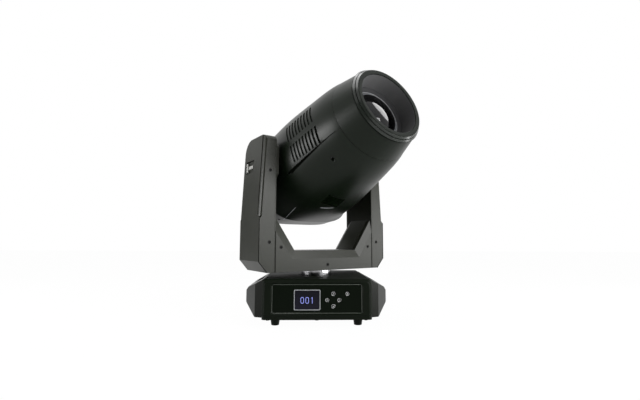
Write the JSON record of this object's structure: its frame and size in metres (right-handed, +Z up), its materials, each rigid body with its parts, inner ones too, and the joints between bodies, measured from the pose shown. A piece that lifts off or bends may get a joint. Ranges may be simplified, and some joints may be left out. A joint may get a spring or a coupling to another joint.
{
  "type": "moving head light",
  "caption": "Moving head stage light: box base with control panel and side handles, U-shaped yoke that pans, and a long barrel head that tilts.",
  "frame": {"origin": "on the pan axis, in the plane of the base's flat underside; the rubber feet reach 19 mm below it", "axes": "+Z up along the pan axis, -Y out of the control panel, +X to the right of someone who faces the panel"},
  "size_m": [0.4346, 0.5139, 0.5952],
  "materials": {
    "housing": "fine satin texture, near black",
    "trim": "satin black",
    "panel": "smooth black",
    "display": "dark glossy screen",
    "circuit_board": "green board",
    "button": "black keys with a light ring",
    "black_metal": "black powder coat",
    "chassis_metal": "mill finish",
    "steel": "turned steel",
    "screw": "black oxide",
    "socket": "black connector",
    "latch": "light grey",
    "rubber": "black rubber",
    "belt": "toothed belt",
    "lens": "clear coated glass",
    "wheel": "dark anodised"
  },
  "bodies": {
    "root": {"base_tray": "black_metal", "base_cover": "housing", "front_bezel": "trim", "front_panel": "panel", "display_window": "display", "display_board": "circuit_board", "rear_panel": "panel", "power_sockets": "socket", "signal_sockets": "socket", "left_handle": "housing", "right_handle": "housing", "rubber_feet": "rubber", "rigging_points": "steel", "base_screws": "screw", "power_supply": "black_metal", "pan_motor": "black_metal", "pan_belt": "belt", "pan_bearing": "steel"},
    "yoke": {"pan_shaft": "steel", "pan_pulley": "chassis_metal", "yoke_frame": "black_metal", "crossbar_front_cover": "housing", "crossbar_rear_cover": "housing", "crossbar_liner": "housing", "left_arm_cover": "housing", "right_arm_cover": "housing", "arm_inner_plates": "housing", "yoke_screws": "screw", "tilt_bearings": "steel", "tilt_motor": "black_metal", "tilt_belt": "belt"},
    "head": {"head_top_cover": "housing", "head_bottom_cover": "housing", "head_front_shell": "housing", "rim_ring": "trim", "lens_retainer": "black_metal", "front_lens": "lens", "rear_cap": "housing", "head_chassis": "chassis_metal", "tilt_hubs": "steel", "light_engine": "chassis_metal", "heatsink": "chassis_metal", "fan_frame": "trim", "wheel_motors": "black_metal", "head_screws": "screw"},
    "pan_motor_pulley": {"pan_motor_pulley": "chassis_metal"},
    "tilt_motor_pulley": {"tilt_motor_pulley": "chassis_metal"},
    "tilt_lock": {"tilt_lock_slider": "latch"},
    "fan": {"fan_rotor": "trim"},
    "colour_wheel": {"colour_wheel": "wheel"},
    "gobo_wheel": {"gobo_wheel": "wheel"},
    "zoom_carriage": {"zoom_carriage": "chassis_metal", "zoom_lens": "lens"},
    "focus_carriage": {"focus_carriage": "chassis_metal", "focus_lens": "lens"},
    "button_up": {"menu_button_up": "button"},
    "button_down": {"menu_button_down": "button"},
    "button_left": {"menu_button_left": "button"},
    "button_right": {"menu_button_right": "button"},
    "button_enter": {"menu_button_enter": "button"}
  },
  "joints": [
    {"name": "pan", "type": "hinge", "parent": "root", "child": "yoke", "pos_m": [0, 0, 0.1], "axis": [0, 0, 1], "range_deg": [-302.4, 237.6]},
    {"name": "tilt", "type": "hinge", "parent": "yoke", "child": "head", "pos_m": [0, 0, 0.385], "axis": [-0.8443, -0.5358, 0], "range_deg": [-64.5, 205.5]},
    {"name": "pan_motor_pulley", "type": "hinge", "parent": "root", "child": "pan_motor_pulley", "pos_m": [0.076, 0.062, 0.074], "axis": [0, 0, 1], "range_deg": [-1814.4, 1425.6]},
    {"name": "tilt_motor_pulley", "type": "hinge", "parent": "yoke", "child": "tilt_motor_pulley", "pos_m": [0, 0, 0.154], "axis": [-0.8443, -0.5358, 0], "range_deg": [-322.5, 1027.5]},
    {"name": "tilt_lock", "type": "slide", "parent": "yoke", "child": "tilt_lock", "axis": [-0.5358, 0.8443, 0], "range_m": [-0.012, 0]},
    {"name": "fan", "type": "hinge", "parent": "head", "child": "fan", "pos_m": [-0.06465, 0.10187, 0.34227], "axis": [0.5051, -0.7959, 0.3338], "continuous": true},
    {"name": "colour_wheel", "type": "hinge", "parent": "head", "child": "colour_wheel", "pos_m": [0.06392, -0.01861, 0.40269], "axis": [0.5051, -0.7959, 0.3338], "continuous": true},
    {"name": "gobo_wheel", "type": "hinge", "parent": "head", "child": "gobo_wheel", "pos_m": [-0.00331, -0.0769, 0.40736], "axis": [0.5051, -0.7959, 0.3338], "continuous": true},
    {"name": "zoom", "type": "slide", "parent": "head", "child": "zoom_carriage", "axis": [0.5051, -0.7959, 0.3338], "range_m": [-0.024, 0.024]},
    {"name": "focus", "type": "slide", "parent": "head", "child": "focus_carriage", "axis": [0.5051, -0.7959, 0.3338], "range_m": [-0.016, 0.02]},
    {"name": "press_up", "type": "slide", "parent": "root", "child": "button_up", "axis": [0, 1, 0], "range_m": [0, 0.001], "stiffness_N_per_m": 800},
    {"name": "press_down", "type": "slide", "parent": "root", "child": "button_down", "axis": [0, 1, 0], "range_m": [0, 0.001], "stiffness_N_per_m": 800},
    {"name": "press_left", "type": "slide", "parent": "root", "child": "button_left", "axis": [0, 1, 0], "range_m": [0, 0.001], "stiffness_N_per_m": 800},
    {"name": "press_right", "type": "slide", "parent": "root", "child": "button_right", "axis": [0, 1, 0], "range_m": [0, 0.001], "stiffness_N_per_m": 800},
    {"name": "press_enter", "type": "slide", "parent": "root", "child": "button_enter", "axis": [0, 1, 0], "range_m": [0, 0.001], "stiffness_N_per_m": 800}
  ],
  "couplings": [
    {"joint": "pan_motor_pulley", "follows": "pan", "ratio": 6},
    {"joint": "tilt_motor_pulley", "follows": "tilt", "ratio": 5}
  ]
}
